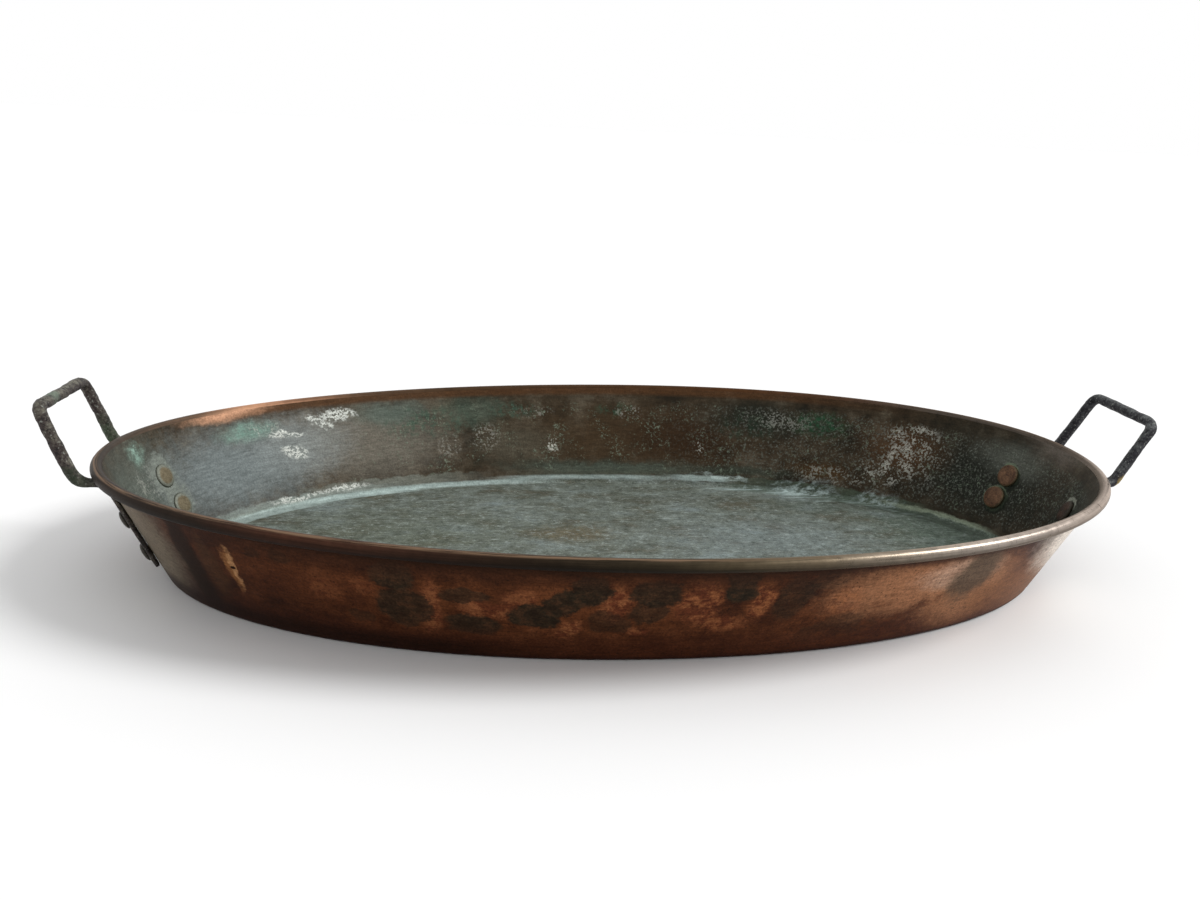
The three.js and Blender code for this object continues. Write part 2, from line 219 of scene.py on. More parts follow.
class Finish:
    """A material laid on in coats: each hides the ones before it where its mask is 1."""

    def __init__(self, name, roughness, metallic, raggedness=0.008, shine=0.5, edge=(1, 1, 1, 1)):
        self.material = bpy.data.materials.new(name)
        self.material.use_nodes = True
        self.tree = self.material.node_tree
        self.shader = self.tree.nodes["Principled BSDF"]
        self.shader.inputs["Specular IOR Level"].default_value = shine
        self.shader.inputs["Specular Tint"].default_value = edge
        self.values = {"Roughness": roughness, "Metallic": metallic}
        self.colour = None
        self.place = self.add("ShaderNodeTexCoord").outputs["Object"]
        # Places moved a few millimetres to and fro, so that no stain has an even edge
        cloud = self.noise(0.018, 6, 0.62, output="Color")
        back = self.add(
            "ShaderNodeVectorMath",
            {0: self.place, 1: (raggedness / 2,) * 3},
            operation="SUBTRACT",
        ).outputs[0]
        self.ragged = self.add(
            "ShaderNodeVectorMath",
            {0: cloud, 1: (raggedness,) * 3, 2: back},
            operation="MULTIPLY_ADD",
        ).outputs[0]
        self.fringe = self.noise(0.0035, 5, 0.7)

    def add(self, kind, sockets=None, **settings):
        """A node, with its sockets set to values or joined to other nodes' outputs."""
        node = self.tree.nodes.new(kind)
        for key, value in settings.items():
            setattr(node, key, value)
        for key, value in (sockets or {}).items():
            if isinstance(value, bpy.types.NodeSocket):
                self.tree.links.new(value, node.inputs[key])
            else:
                node.inputs[key].default_value = value
        return node

    def part(self, axis):
        """One coordinate of the place on the piece."""
        return self.add("ShaderNodeSeparateXYZ", {"Vector": self.place}).outputs[axis]

    def measure(self, name):
        """A value that the mesh carries at its points."""
        return self.add("ShaderNodeAttribute", attribute_name=name).outputs["Fac"]

    def noise(self, size, detail=3, roughness=0.5, stretch=(1, 1, 1), output="Fac"):
        """Cloudy pattern around 0.5 whose patches are about `size` across, times the stretch."""
        scale = [1 / (size * part) for part in stretch]
        place = self.add("ShaderNodeMapping", {"Vector": self.place, "Scale": scale}).outputs[0]
        sockets = {"Vector": place, "Scale": 1, "Detail": detail, "Roughness": roughness}
        return self.add("ShaderNodeTexNoise", sockets).outputs[output]

    def band(self, value, low, high):
        """0 where the value is at `low`, 1 where it is at `high`, and smooth between."""
        sockets = {"Value": value, "From Min": low, "From Max": high}
        node = self.add("ShaderNodeMapRange", sockets, interpolation_type="SMOOTHSTEP")
        return node.outputs["Result"]

    def times(self, first, second):
        """Product of two masks or numbers."""
        return self.add("ShaderNodeMath", {0: first, 1: second}, operation="MULTIPLY").outputs[0]

    def plus(self, first, second):
        """Sum of two patterns."""
        return self.add("ShaderNodeMath", {0: first, 1: second}, operation="ADD").outputs[0]

    def spot(self, at, halves, soft=0.5, frayed=0.5):
        """Mask of an oval stain in a frame, its edge frayed and fading over the share `soft`."""
        sockets = {
            "Vector": self.ragged,
            "Location": at.translation,
            "Rotation": at.to_euler("XYZ"),
            "Scale": halves,
        }
        inside = self.add("ShaderNodeMapping", sockets, vector_type="TEXTURE").outputs[0]
        ball = self.add("ShaderNodeTexGradient", {"Vector": inside}, gradient_type="SPHERICAL")
        depth = self.add(
            "ShaderNodeMath",
            {0: self.fringe, 1: frayed, 2: ball.outputs["Fac"]},
            operation="MULTIPLY_ADD",
        ).outputs[0]
        edge = frayed * 0.5 + 0.04
        faded = self.band(depth, edge, edge + soft)
        return self.times(faded, self.band(ball.outputs["Fac"], 0, 0.05))

    def ramp(self, value, *stops):
        """Colours along a value: each stop is where it is and the colour there."""
        node = self.add("ShaderNodeValToRGB", {"Fac": value})
        while len(node.color_ramp.elements) < len(stops):
            node.color_ramp.elements.new(1)
        for element, (where, colour) in zip(node.color_ramp.elements, stops):
            element.position, element.color = where, colour
        return node.outputs["Color"]

    def mix(self, kind, mask, below, above):
        """Blend of two colours or numbers by the mask."""
        first, second, output = (6, 7, 2) if kind == "RGBA" else (2, 3, 0)
        sockets = {0: mask, first: below, second: above}
        return self.add("ShaderNodeMix", sockets, data_type=kind).outputs[output]

    def coat(self, colour, mask, strength=1.0, **values):
        """Lay a colour over the last, with its own roughness or metallic where they're given."""
        if strength != 1.0:
            mask = self.times(mask, strength)
        self.colour = self.mix("RGBA", mask, self.colour, colour)
        for socket, value in values.items():
            self.values[socket] = self.mix("FLOAT", mask, self.values[socket], value)

    def tone(self, value, *stops):
        """Darken and lighten the whole finish along a value: each stop is a place and a share."""
        greys = [(where, (share / 2, share / 2, share / 2, 1)) for where, share in stops]
        factor = self.times(self.ramp(value, *greys), 2)
        sockets = {0: self.colour, "Scale": factor}
        self.colour = self.add("ShaderNodeVectorMath", sockets, operation="SCALE").outputs[0]

    def done(self, relief, depth):
        """Join the coats to the shader, with the relief as bump of the given depth."""
        self.tree.links.new(self.colour, self.shader.inputs["Base Color"])
        for socket, value in self.values.items():
            if isinstance(value, bpy.types.NodeSocket):
                self.tree.links.new(value, self.shader.inputs[socket])
            else:
                self.shader.inputs[socket].default_value = value
        bump = self.add("ShaderNodeBump", {"Height": relief, "Distance": depth})
        self.tree.links.new(bump.outputs["Normal"], self.shader.inputs["Normal"])
        return self.material


# Half of a stain's reach through the sheet: deep enough to keep its size where the wall curves
THROUGH = 0.03

# Outside: brown oxide over copper, with green-black blots where the flames licked it and bright
# patches where it was rubbed bare. Each row is the angle on the rim in degrees, the height, half
# the length along the rim, half the height up the slope, the tilt in degrees and the strength.
DARK_BLOTS = (
    (-114.8, 0.028, 0.0150, 0.0150, 0, 0.85),
    (-116.0, 0.045, 0.0120, 0.0100, 0, 0.85),
    (-108.7, 0.037, 0.0140, 0.0060, 0, 0.75),
    (-108.0, 0.020, 0.0150, 0.0075, -6, 0.85),
    (-102.2, 0.027, 0.0135, 0.0080, 0, 0.95),
    (-99.3, 0.034, 0.0120, 0.0085, 30, 0.95),
    (-96.8, 0.042, 0.0130, 0.0110, 20, 0.95),
    (-94.8, 0.024, 0.0110, 0.0090, 0, 0.6),
    (-90.9, 0.041, 0.0120, 0.0110, 0, 0.9),
    (-91.3, 0.030, 0.0100, 0.0090, 20, 0.75),
    (-83.6, 0.051, 0.0100, 0.0085, 0, 1.0),
    (-83.2, 0.042, 0.0095, 0.0090, 0, 1.0),
    (-78.0, 0.037, 0.0110, 0.0170, 0, 0.6),
    (-74.5, 0.046, 0.0120, 0.0090, 0, 0.7),
    (-72.5, 0.016, 0.0200, 0.0090, 20, 0.5),
    (-69.0, 0.012, 0.0140, 0.0060, 8, 0.6),
    (-128.5, 0.046, 0.0070, 0.0050, 0, 0.5),
    (-132.3, 0.046, 0.0050, 0.0040, 0, 0.45),
    (-120.4, 0.020, 0.0080, 0.0050, 0, 0.5),
)
BARE_COPPER = (
    (-112.2, 0.028, 0.0070, 0.0240, 0, 0.9),
    (-106.3, 0.029, 0.0190, 0.0080, 0, 0.8),
    (-103.2, 0.036, 0.0110, 0.0080, 0, 0.7),
    (-99.0, 0.020, 0.0090, 0.0070, 20, 0.95),
    (-94.2, 0.036, 0.0100, 0.0160, 0, 0.95),
    (-92.3, 0.019, 0.0090, 0.0040, 0, 0.8),
    (-87.2, 0.036, 0.0150, 0.0180, 0, 0.95),
    (-81.3, 0.036, 0.0070, 0.0180, 0, 1.0),
    (-85.0, 0.024, 0.0180, 0.0080, 0, 0.8),
    (-71.5, 0.032, 0.0120, 0.0140, 0, 0.9),
    (-124.0, 0.032, 0.0110, 0.0090, 0, 0.35),
    (-119.0, 0.036, 0.0120, 0.0070, 0, 0.3),
)
copper = Finish("aged_copper", 0.42, 0.25, 0.014, 0.08, shade(180, 140, 110))
rise = copper.measure("rise")
copper.colour = copper.ramp(
    copper.noise(0.022, 7, 0.68),
    (0.34, shade(40, 21, 14)),
    (0.48, shade(67, 37, 21)),
    (0.58, shade(84, 48, 28)),
    (0.68, shade(100, 60, 37)),
)
for angle, height, long, high, colour, strength in (
    (-126, 0.033, 0.060, 0.022, shade(88, 49, 29), 0.5),
    (-97, 0.034, 0.100, 0.024, shade(100, 58, 34), 0.55),
):
    copper.coat(colour, copper.spot(on_wall(angle, height), (long, THROUGH, high), 0.9), strength)
# Two browns for the blots: green-black where the soot is thick, and brown where it is thin
blot_colour = copper.ramp(
    copper.noise(0.006, 6, 0.68, (1, 1, 0.7)),
    (0.38, shade(28, 23, 17)),
    (0.50, shade(40, 33, 24)),
    (0.62, shade(60, 42, 29)),
)
# The back is blotted in the same way, by chance
back = copper.band(copper.part("Y"), -0.03, 0.02)
by_chance = copper.times(copper.band(copper.noise(0.022, 5, 0.55), 0.55, 0.63), back)
copper.coat(shade(116, 70, 46), by_chance, Metallic=0.6)
by_chance = copper.times(copper.band(copper.noise(0.031, 5, 0.55, (1, 1, 0.8)), 0.46, 0.40), back)
copper.coat(blot_colour, by_chance, 0.9, Roughness=0.6, Metallic=0.1)
flecks = copper.band(copper.noise(0.0050, 7, 0.74, (1.3, 1.3, 1)), 0.44, 0.56)
for angle, height, long, high, tilt, strength in BARE_COPPER:
    mask = copper.spot(on_wall(angle, height, tilt), (long, THROUGH, high), 0.6, 0.8)
    copper.coat(shade(92, 48, 31), mask, strength * 0.8)
    copper.coat(shade(134, 84, 54), copper.times(mask, flecks), strength, Metallic=0.5)
for angle, height, long, high, tilt, strength in DARK_BLOTS:
    mask = copper.spot(on_wall(angle, height, tilt), (long, THROUGH, high), 0.22, 0.6)
    copper.coat(blot_colour, mask, strength, Roughness=0.55, Metallic=0.1)
# Darker towards the foot of the wall, and a painted shade in the corner under the bead
copper.coat(shade(70, 37, 23), copper.band(rise, 0.022, 0.006), 0.7)
copper.coat(shade(48, 28, 19), copper.band(rise, 0.040, 0.050), 0.6)
# The right is a paler pinkish brown, partly worn and partly a painted highlight of the light from
# the right, with brown smears left on it
for angle, height, long, high, colour, strength in (
    (-64, 0.036, 0.062, 0.027, shade(157, 110, 79), 0.85),
    (-53, 0.026, 0.045, 0.036, shade(156, 111, 80), 0.9),
    (-48, 0.018, 0.030, 0.016, shade(122, 82, 51), 0.7),
    (-36, 0.018, 0.055, 0.034, shade(126, 86, 57), 0.9),
    # A paler patch high up is a painted highlight
    (-57, 0.040, 0.036, 0.015, shade(192, 160, 138), 0.7),
):
    copper.coat(colour, copper.spot(on_wall(angle, height), (long, 0.05, high), 0.7), strength)
patchy = copper.band(copper.noise(0.009, 6, 0.7, (1, 1, 0.7)), 0.56, 0.40)
for angle, height, long, high, tilt, strength in (
    (-62.5, 0.020, 0.020, 0.0050, 25, 0.9),
    (-60.0, 0.040, 0.016, 0.0060, 10, 0.4),
    (-67.5, 0.027, 0.016, 0.0100, 30, 0.5),
    (-70.0, 0.014, 0.026, 0.0080, 8, 0.8),
    (-66.0, 0.007, 0.040, 0.0070, 0, 0.9),
    (-58.0, 0.026, 0.018, 0.0040, 32, 0.7),
    (-49.0, 0.012, 0.018, 0.0060, 30, 0.6),
    (-53.5, 0.050, 0.020, 0.0070, 0, 0.5),
):
    mask = copper.spot(on_wall(angle, height, tilt), (long, THROUGH, high), 0.6)
    copper.coat(shade(82, 46, 26), copper.times(mask, patchy), strength)
mask = copper.spot(on_wall(-54.8, 0.037, 76), (0.026, THROUGH, 0.0190), 0.5, 0.5)
copper.coat(shade(79, 67, 53), mask, 0.9)
# Both ends carry a painted pale grey reflection, with dark brown runs next to it at the left
for angle, height, long, high, colour, strength in (
    (-150.0, 0.020, 0.045, 0.030, shade(38, 23, 14), 0.7),
    (-163, 0.034, 0.058, 0.056, shade(126, 117, 101), 1.0),
    (-144.8, 0.030, 0.010, 0.050, shade(30, 18, 10), 0.95),
    (-140.3, 0.032, 0.008, 0.026, shade(74, 49, 31), 0.8),
    (-22, 0.044, 0.086, 0.040, shade(232, 224, 214), 1.0),
):
    mask = copper.spot(on_wall(angle, height), (long, 0.06, high), 0.5, 0.3)
    copper.coat(colour, mask, strength)
# The left end is darker too, most of all at its foot
left_part = copper.band(copper.part("X"), -0.12, -0.19)
copper.coat(shade(40, 22, 13), left_part, 0.22)
left_foot = copper.times(
    copper.band(rise, 0.015, 0.006), copper.band(copper.part("X"), -0.03, -0.10)
)
copper.coat(shade(32, 17, 11), left_foot, 0.85)
copper.coat(shade(42, 21, 12), copper.band(rise, 0.004, 0.001), 0.8)
# A golden line, scraped bare by something hard, with a pit in it
mask = copper.spot(on_wall(-136.8, 0.033), (0.0044, THROUGH, 0.0190), 0.5, 0.6)
copper.coat(shade(140, 96, 62), mask, 0.85, Roughness=0.35, Metallic=0.5)
mask = copper.spot(on_wall(-136.4, 0.034), (0.0026, THROUGH, 0.0175), 0.6, 0.6)
copper.coat(shade(190, 146, 106), mask, 0.8, Roughness=0.3, Metallic=0.7)
mask = copper.spot(on_wall(-136.6, 0.0335), (0.0024, THROUGH, 0.0018), 0.4)
copper.coat(shade(30, 18, 12), mask)
# Fine dark specks and scratches all over
speck = copper.noise(0.0016, 4, 0.6)
copper.coat(shade(34, 19, 13), copper.band(speck, 0.38, 0.32), 0.7)
scratch = copper.noise(0.0030, 3, 0.6, (0.35, 0.35, 4))
copper.coat(shade(44, 26, 18), copper.band(scratch, 0.35, 0.31), 0.5)
# Painted shade just under the bead, fading out towards the left end
shade_under_bead = copper.times(
    copper.band(rise, 0.0480, 0.0535), copper.band(copper.part("X"), -0.26, -0.10)
)
copper.coat(shade(38, 22, 13), shade_under_bead, 0.9)
copper.coat(shade(30, 18, 11), copper.band(rise, 0.0535, 0.0560), 0.8)
grain = copper.noise(0.0011, 4, 0.65)
streaks = copper.noise(0.010, 5, 0.65, (1, 1, 0.14))
copper.tone(grain, (0.3, 0.62), (0.7, 1.38))
copper.tone(streaks, (0.3, 0.76), (0.7, 1.24))
copper_outside = copper.done(copper.plus(grain, copper.times(streaks, 0.6)), 0.00006)

# Bead: worn by hands and cloths, dark brown at the left and pinkish grey at the right, its pale
# right end partly a painted highlight
bead_finish = Finish("rim_copper", 0.3, 0.6, 0.012, 0.1, shade(225, 210, 195))
spread = bead_finish.add("ShaderNodeSeparateXYZ", {"Vector": bead_finish.ragged}).outputs
along_rim = bead_finish.add(
    "ShaderNodeMapRange",
    {"Value": spread["X"], "From Min": -RIM_HALF_LENGTH, "From Max": RIM_HALF_LENGTH},
).outputs["Result"]
front = bead_finish.ramp(
    along_rim,
    (0.0, shade(32, 25, 20)),
    (0.12, shade(38, 28, 22)),
    (0.20, shade(66, 41, 31)),
    (0.31, shade(50, 33, 25)),
    (0.40, shade(37, 29, 21)),
    (0.49, shade(48, 41, 30)),
    (0.55, shade(78, 68, 52)),
    (0.62, shade(104, 92, 75)),
    (0.70, shade(146, 134, 120)),
    (0.78, shade(166, 155, 145)),
    (1.0, shade(166, 154, 146)),
)
# At the back left the bead carries a painted highlight
rear = bead_finish.ramp(
    along_rim,
    (0.0, shade(66, 58, 50)),
    (0.06, shade(98, 76, 60)),
    (0.11, shade(184, 138, 108)),
    (0.15, shade(138, 102, 79)),
    (0.22, shade(84, 63, 47)),
    (0.34, shade(68, 50, 34)),
    (0.7, shade(74, 48, 29)),
    (1.0, shade(82, 66, 56)),
)
at_back = bead_finish.band(spread["Y"], -0.03, 0.03)
bead_finish.colour = bead_finish.mix("RGBA", at_back, front, rear)
# The underside is painted in shade all round the front, and so is the inner side at the right
turn = bead_finish.measure("turn")
crest = bead_finish.add(
    "ShaderNodeMapRange", {"Value": turn, "From Min": -0.5, "From Max": 1}
).outputs["Result"]
underside_shade = bead_finish.mix("FLOAT", at_back, crest, 0.9)
bead_finish.tone(underside_shade, (0.08, 0.2), (0.26, 0.35), (0.38, 0.72), (0.46, 1.0))
shaded_inner_side = bead_finish.times(
    bead_finish.band(turn, 0.46, 0.70), bead_finish.band(along_rim, 0.80, 0.93)
)
bead_finish.coat(shade(74, 68, 61), shaded_inner_side, 0.85)
lengthwise = bead_finish.add(
    "ShaderNodeCombineXYZ",
    {
        "X": bead_finish.times(bead_finish.part("X"), 25),
        "Y": bead_finish.times(bead_finish.part("Y"), 25),
        "Z": bead_finish.times(turn, 9),
    },
).outputs[0]
scuffs = bead_finish.add(
    "ShaderNodeTexNoise", {"Vector": lengthwise, "Scale": 1, "Detail": 6, "Roughness": 0.68}
).outputs["Fac"]
worn = bead_finish.noise(0.005, 5, 0.65)
bead_finish.tone(scuffs, (0.3, 0.62), (0.7, 1.38))
bead_finish.tone(worn, (0.3, 0.82), (0.7, 1.18))
# The dark metal at the left has one painted highlight along its crest, broken by the scuffs, and
# the right is paler and shinier all over
bright = bead_finish.band(along_rim, 0.48, 0.66)
crest_highlight = bead_finish.times(bead_finish.band(turn, 0.24, 0.38), bead_finish.band(turn, 0.58, 0.44))
crest_highlight = bead_finish.times(crest_highlight, bead_finish.band(scuffs, 0.40, 0.56))
crest_highlight = bead_finish.mix("FLOAT", bright, crest_highlight, 0.0)
crest_highlight = bead_finish.mix("FLOAT", at_back, crest_highlight, 0.0)
bead_finish.coat(shade(124, 100, 79), crest_highlight, 0.85)
polished = bead_finish.mix("FLOAT", worn, 0.12, 0.5)
bead_finish.values["Roughness"] = bead_finish.mix("FLOAT", bright, 0.45, polished)
bead_finish.values["Metallic"] = bead_finish.mix("FLOAT", bright, 0.15, 0.6)
rim_bead = bead_finish.done(bead_finish.plus(worn, bead_finish.times(scuffs, 0.8)), 0.00008)

# Inside: old tin gone grey-green, worn to brown copper on the far wall, with verdigris and lime
tin = Finish("worn_tin", 0.55, 0.15, 0.012, 0.16, shade(190, 190, 175))
rise = tin.measure("rise")
reach = tin.measure("reach")
tin.colour = tin.ramp(
    tin.noise(0.020, 7, 0.68),
    (0.34, shade(36, 31, 24)),
    (0.5, shade(62, 52, 40)),
    (0.66, shade(90, 82, 69)),
)
for angle, height, long, high, colour, strength in (
    (84, 0.028, 0.130, 0.036, shade(68, 52, 35), 0.75),
    (76, 0.030, 0.062, 0.026, shade(48, 31, 18), 0.75),
    (122, 0.030, 0.080, 0.040, shade(113, 108, 98), 0.85),
    (119, 0.047, 0.036, 0.013, shade(92, 106, 98), 0.7),
    (178, 0.030, 0.080, 0.050, shade(89, 95, 88), 0.95),
    (149, 0.026, 0.100, 0.040, shade(111, 119, 119), 0.95),
    (106, 0.046, 0.036, 0.016, shade(76, 91, 80), 0.6),
    (64, 0.044, 0.060, 0.020, shade(36, 38, 32), 0.85),
    (20, 0.030, 0.120, 0.050, shade(33, 36, 31), 0.95),
    (-20, 0.030, 0.100, 0.050, shade(32, 35, 30), 0.95),
    (14, 0.044, 0.042, 0.016, shade(98, 101, 93), 0.65),
    (38.5, 0.036, 0.040, 0.026, shade(78, 56, 38), 0.9),
    (53, 0.016, 0.030, 0.011, shade(78, 56, 32), 0.7),
    (54.2, 0.044, 0.026, 0.012, shade(44, 56, 44), 0.7),
    (134, 0.034, 0.048, 0.030, shade(146, 152, 150), 0.5),
    (100, 0.025, 0.045, 0.020, shade(94, 90, 77), 0.5),
    (143.5, 0.045, 0.030, 0.009, shade(118, 140, 130), 0.8),
    (172, 0.050, 0.012, 0.010, shade(104, 124, 113), 0.6),
    (4, 0.060, 0.040, 0.016, shade(104, 96, 88), 0.8),
    (88, 0.0105, 0.110, 0.007, shade(64, 71, 62), 0.8),
    (66, 0.0115, 0.050, 0.006, shade(56, 63, 54), 0.8),
):
    tin.coat(colour, tin.spot(on_wall(angle, height), (long, THROUGH, high), 0.8), strength)
# Verdigris has grown through the stains in a few places
powdery = tin.band(tin.noise(0.0042, 6, 0.75), 0.44, 0.60)
for angle, height, long, high, colour in (
    (54.2, 0.0440, 0.028, 0.0120, shade(40, 84, 58)),
    (143.5, 0.0450, 0.024, 0.0070, shade(120, 150, 138)),
    (172.0, 0.0510, 0.012, 0.0100, shade(141, 168, 155)),
    (113.0, 0.0400, 0.044, 0.0150, shade(74, 94, 80)),
    (100.0, 0.0460, 0.024, 0.0080, shade(66, 92, 78)),
    (86.0, 0.0460, 0.018, 0.0070, shade(58, 80, 64)),
    (66.0, 0.0380, 0.030, 0.0120, shade(44, 58, 46)),
):
    mask = tin.spot(on_wall(angle, height), (long, THROUGH, high), 0.8, 0.8)
    tin.coat(colour, tin.times(mask, powdery), 0.85, Roughness=0.8)
# The floor is scoured to and fro, so its stains are drawn out a little along the pan
on_the_floor = tin.band(reach, 0.0030, 0.0018)
tin.coat(
    tin.ramp(
        tin.noise(0.024, 8, 0.66, (1.6, 1, 1)),
        (0.36, shade(86, 84, 72)),
        (0.46, shade(94, 99, 90)),
        (0.55, shade(108, 115, 108)),
        (0.66, shade(118, 128, 126)),
    ),
    on_the_floor,
)
for x, y, long, wide, colour, strength in (
    (0.095, 0.020, 0.100, 0.060, shade(124, 136, 137), 0.5),
    (0.215, 0.040, 0.070, 0.090, shade(95, 109, 98), 0.85),
    (0.150, 0.085, 0.050, 0.030, shade(80, 90, 82), 0.6),
    (-0.022, 0.032, 0.040, 0.022, shade(98, 88, 66), 0.8),
    (0.050, 0.095, 0.090, 0.014, shade(82, 84, 74), 0.6),
    (-0.120, 0.030, 0.110, 0.070, shade(90, 96, 82), 0.55),
):
    mask = tin.spot(on_floor(x, y), (long, wide, 0.01), 0.9, 1.4)
    tin.coat(colour, tin.times(mask, on_the_floor), strength)
scoured = tin.noise(0.0024, 7, 0.80, (1.4, 1, 1))
tin.coat(shade(58, 64, 57), tin.times(tin.band(scoured, 0.47, 0.38), on_the_floor), 0.75)
tin.coat(shade(152, 161, 157), tin.times(tin.band(scoured, 0.53, 0.64), on_the_floor), 0.75)
scratches = tin.band(tin.noise(0.0016, 4, 0.6, (18, 0.8, 1)), 0.60, 0.68)
tin.coat(shade(164, 173, 168), tin.times(scratches, on_the_floor), 0.4)
# Brown bare copper shows along the top of the far wall, with a painted highlight at the back left
far_side = tin.times(tin.band(tin.part("Y"), -0.02, 0.05), tin.band(tin.part("X"), 0.24, 0.10))
top = tin.times(tin.band(rise, 0.0545, 0.0575), tin.band(tin.part("X"), -0.255, -0.215))
tin.coat(shade(80, 53, 32), tin.times(top, far_side), 0.85)
mask = tin.spot(on_wall(147, 0.0565), (0.044, THROUGH, 0.0066), 0.8)
tin.coat(shade(170, 128, 101), mask, 0.9, Roughness=0.45, Metallic=0.3)
# Pale lines run where the wall meets the floor, over duller ones. Each row is the angle, half the
# length, the lowest and highest distance from the corner, how far its edges stray, the colour and
# the strength.
PALE_CORNER_GREY = shade(164, 180, 176)
straying = tin.noise(0.0065, 6, 0.72, (1.8, 1.8, 1))
for angle, long, lowest, highest, stray, colour, strength in (
    (86.0, 0.090, 0.0040, 0.0110, 0.016, shade(82, 90, 80), 0.6),
    (121.0, 0.080, 0.0020, 0.0080, 0.010, shade(124, 129, 120), 0.6),
    (60.0, 0.050, -0.0060, 0.0070, 0.008, shade(78, 92, 80), 0.55),
    (42.0, 0.045, -0.0050, 0.0060, 0.008, shade(80, 95, 81), 0.6),
    (30.0, 0.060, -0.0085, 0.0008, 0.006, shade(64, 72, 62), 0.65),
    (28.0, 0.052, 0.0012, 0.0036, 0.006, shade(140, 151, 131), 0.85),
    (146.0, 0.050, -0.0060, 0.0050, 0.006, shade(134, 144, 138), 0.6),
    (130.0, 0.050, -0.0020, 0.0050, 0.006, shade(142, 152, 146), 0.6),
    (143.0, 0.045, -0.0075, 0.0010, 0.003, PALE_CORNER_GREY, 0.65),
    (126.0, 0.050, -0.0034, 0.0018, 0.002, PALE_CORNER_GREY, 0.8),
    (110.0, 0.078, 0.0000, 0.0026, 0.002, PALE_CORNER_GREY, 0.85),
    (90.0, 0.080, 0.0022, 0.0046, 0.002, PALE_CORNER_GREY, 0.75),
    (73.0, 0.030, 0.0026, 0.0060, 0.003, PALE_CORNER_GREY, 0.8),
):
    extent = tin.spot(on_wall(angle, SHEET), (long, 0.05, 0.03), 0.6, 0.3)
    edge = tin.add("ShaderNodeMath", {0: straying, 1: stray, 2: reach}, operation="MULTIPLY_ADD")
    low, high = lowest + stray / 2, highest + stray / 2
    strip = tin.times(
        tin.band(edge.outputs[0], low - 0.0006, low + 0.0010),
        tin.band(edge.outputs[0], high + 0.0010, high - 0.0006),
    )
    tin.coat(colour, tin.times(extent, strip), strength)
brush = tin.band(tin.noise(0.0030, 6, 0.70, (12, 0.7, 1)), 0.42, 0.62)
for x, y, long, wide, turn, strength in (
    (0.096, 0.1165, 0.0260, 0.0040, -2, 0.9),
    (0.144, 0.1010, 0.0280, 0.0110, -12, 0.9),
    (0.126, 0.1100, 0.0200, 0.0060, -12, 0.8),
    (0.182, 0.0850, 0.0260, 0.0050, -26, 0.6),
    (0.196, 0.0700, 0.0240, 0.0030, -34, 0.5),
):
    mask = tin.spot(on_floor(x, y, turn), (long, wide, 0.02), 0.6, 0.8)
    tin.coat(shade(172, 188, 186), tin.times(mask, brush), strength)
mask = tin.spot(on_wall(69.5, 0.0070, 6), (0.022, THROUGH, 0.0028), 0.5, 0.6)
tin.coat(shade(184, 200, 196), tin.times(mask, brush), 1.0)
# Lime crusts: drops dried into a net of white veins, with a paler patch of wall round it
veins = tin.noise(0.0034, 6, 0.66, (1.3, 1.3, 1))
veins = tin.times(tin.band(veins, 0.435, 0.465), tin.band(veins, 0.555, 0.520))
for angle, height, long, high, tilt, strength in (
    (127.0, 0.0485, 0.0150, 0.0055, 6, 1.0),
    (130.2, 0.0450, 0.0100, 0.0040, 24, 1.0),
    (136.6, 0.0405, 0.0140, 0.0026, 6, 1.0),
    (135.8, 0.0305, 0.0105, 0.0055, 12, 1.0),
    (137.0, 0.0050, 0.0240, 0.0022, 0, 0.8),
    (128.0, 0.0062, 0.0200, 0.0024, 0, 0.9),
):
    mask = tin.spot(on_wall(angle, height, tilt), (long, THROUGH, high), 0.5, 0.8)
    tin.coat(shade(142, 148, 141), mask, strength * 0.3)
    tin.coat(shade(216, 219, 212), tin.times(mask, veins), strength, Roughness=0.85)
# Lime specks, thick in a few places of the far wall's right half and thinner in others
mottle = tin.noise(0.0014, 4, 0.62)
crowded = tin.plus(mottle, tin.times(tin.noise(0.0080, 4, 0.6), 0.6))
lace = tin.band(crowded, 0.815, 0.90)
for angle, height, long, high, tilt, strength in (
    (42.0, 0.0200, 0.0250, 0.0120, -10, 0.85),
    (37.0, 0.0330, 0.0320, 0.0250, 0, 0.7),
    (37.0, 0.0460, 0.0240, 0.0080, 0, 0.65),
    (52.0, 0.0140, 0.0300, 0.0080, 0, 0.5),
    (172.0, 0.0350, 0.0260, 0.0140, 0, 0.2),
    (140.5, 0.0450, 0.0160, 0.0050, 0, 0.4),
    (94.5, 0.0230, 0.0060, 0.0070, 0, 0.8),
    (73.5, 0.0240, 0.0045, 0.0070, 0, 0.9),
    (104.5, 0.0300, 0.0130, 0.0130, 0, 0.28),
    (110.0, 0.0260, 0.0120, 0.0100, 0, 0.28),
    (97.0, 0.0440, 0.0160, 0.0060, 0, 0.25),
    (84.0, 0.0440, 0.0140, 0.0060, 0, 0.25),
    (61.0, 0.0440, 0.0300, 0.0090, 0, 0.3),
):
    mask = tin.spot(on_wall(angle, height, tilt), (long, THROUGH, high), 0.7, 0.8)
    tin.coat(shade(210, 210, 199), tin.times(mask, lace), strength, Roughness=0.85)
